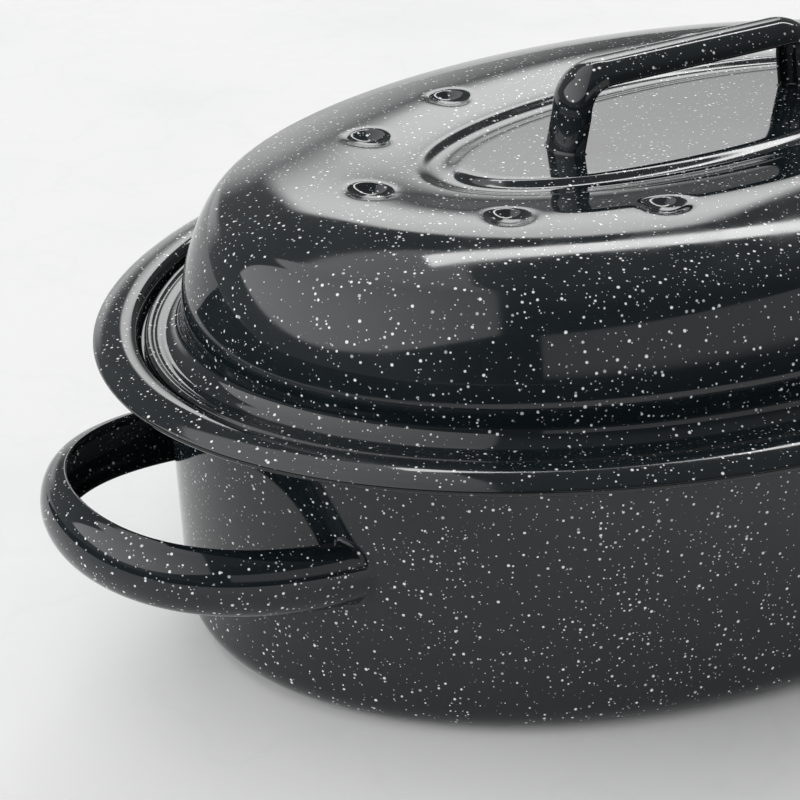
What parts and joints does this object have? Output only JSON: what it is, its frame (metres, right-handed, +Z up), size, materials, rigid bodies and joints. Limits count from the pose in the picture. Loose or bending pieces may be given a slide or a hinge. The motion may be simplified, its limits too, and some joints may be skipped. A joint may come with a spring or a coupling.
{
  "type": "covered oval roaster",
  "caption": "Covered oval roaster in speckled enamelled steel: oval pan with loop handles, domed self-basting lid with a strap handle, and a lift-out wire rack.",
  "frame": {"origin": "centre of the pan's flat base, on the surface it stands on", "axes": "+X along the oval towards the right-hand loop handle, +Y across it to the back, +Z up through the lid handle"},
  "size_m": [0.5314, 0.33, 0.1992],
  "materials": {
    "enamel": "very glossy black-slate porcelain enamel with fine white speckles",
    "rack_wire": "bright plated steel wire"
  },
  "bodies": {
    "pan": {"pan_body": "enamel", "pan_handle_left": "enamel", "pan_handle_right": "enamel"},
    "lid": {"lid_shell": "enamel", "lid_handle": "enamel"},
    "rack": {"rack_rim": "rack_wire", "rack_bar_1": "rack_wire", "rack_bar_2": "rack_wire", "rack_bar_3": "rack_wire", "rack_bar_4": "rack_wire", "rack_bar_5": "rack_wire", "rack_bar_6": "rack_wire", "rack_bar_7": "rack_wire", "rack_bar_8": "rack_wire", "rack_bar_9": "rack_wire", "rack_runner_front": "rack_wire", "rack_runner_back": "rack_wire", "rack_foot_left_front": "rack_wire", "rack_foot_left_back": "rack_wire", "rack_foot_right_front": "rack_wire", "rack_foot_right_back": "rack_wire", "rack_lift_left": "rack_wire", "rack_lift_right": "rack_wire"}
  },
  "joints": [
    {"name": "lid_lift", "type": "slide", "parent": "pan", "child": "lid", "axis": [0, 0, 1], "range_m": [0, 0.12]},
    {"name": "rack_lift", "type": "slide", "parent": "pan", "child": "rack", "axis": [0, 0, 1], "range_m": [0, 0.04]}
  ]
}
